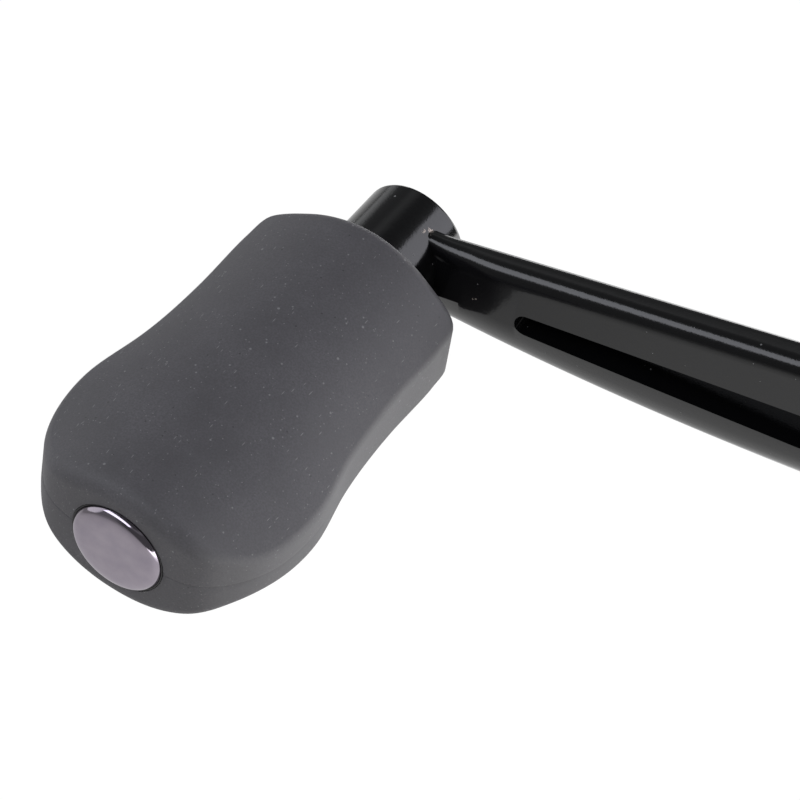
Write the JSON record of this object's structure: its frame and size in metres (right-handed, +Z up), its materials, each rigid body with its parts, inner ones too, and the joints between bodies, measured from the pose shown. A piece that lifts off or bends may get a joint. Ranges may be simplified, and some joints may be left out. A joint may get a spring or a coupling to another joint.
{
  "type": "folding reel crank handle",
  "caption": "Folding crank handle for a fishing reel: rubber paddle knob on a painted cast arm, locking hinge knuckle, hexagonal drive shank and screw cap.",
  "frame": {"origin": "middle of the bounding box at rest; the drive axis is 38.24 mm towards +X from it, and the collar face that seats on the reel is in the plane Y = +8.59 mm", "axes": "+Y along the drive shank into the reel, -X along the arm towards the knob, +Z up"},
  "size_m": [0.0924, 0.1116, 0.0196],
  "materials": {
    "grip_rubber": "soft-touch grey rubber, matt, moulded",
    "black_paint": "gloss black paint on die-cast metal",
    "black_plastic": "satin black moulded plastic",
    "polished_chrome": "polished bright plating",
    "steel": "machined stainless steel",
    "nylon": "natural nylon",
    "seal_rubber": "black nitrile rubber"
  },
  "bodies": {
    "knuckle": {"hinge_knuckle": "black_paint", "hinge_pin": "steel", "hinge_pin_clip": "steel", "hinge_washer_upper": "nylon", "hinge_washer_lower": "nylon", "drive_shank": "steel", "shank_screw": "steel", "nose_cap": "polished_chrome", "reel_collar": "polished_chrome", "shank_seal": "seal_rubber", "button_ring": "polished_chrome", "lock_spring": "steel"},
    "arm": {"handle_arm": "black_paint", "knob_spindle": "steel", "thrust_washer": "nylon", "spindle_washer": "steel", "spindle_screw": "steel"},
    "knob": {"grip_cover": "grip_rubber", "grip_core": "black_plastic", "inner_bush": "nylon", "outer_bush": "nylon", "cap_plug": "black_plastic", "end_cap": "polished_chrome"},
    "button": {"lock_button": "black_plastic"},
    "cap_washer_carrier": {"cap_washer": "nylon"},
    "cap": {"screw_cap": "black_plastic"}
  },
  "joints": [
    {"name": "arm_fold", "type": "hinge", "parent": "knuckle", "child": "arm", "pos_m": [0.02724, -0.00041, 0.0001], "axis": [0, 0, -1], "range_deg": [0, 90]},
    {"name": "knob_spin", "type": "hinge", "parent": "arm", "child": "knob", "pos_m": [-0.03176, -0.01119, 0.0001], "axis": [0, 1, 0], "continuous": true},
    {"name": "lock_press", "type": "slide", "parent": "knuckle", "child": "button", "axis": [0, 0, -1], "range_m": [0, 0.0014], "stiffness_N_per_m": 800, "springref_m": -0.0005, "deforming": ["lock_spring"]},
    {"name": "cap_turn", "type": "hinge", "parent": "cap_washer_carrier", "child": "cap", "pos_m": [0.03824, 0.04859, 0.0001], "axis": [0, 1, 0], "range_deg": [0, 720]},
    {"name": "cap_travel", "type": "slide", "parent": "knuckle", "child": "cap_washer_carrier", "axis": [0, 1, 0], "range_m": [0, 0.0016]}
  ],
  "couplings": [
    {"joint": "cap_turn", "follows": "cap_travel", "rad_per_m": 7854}
  ]
}
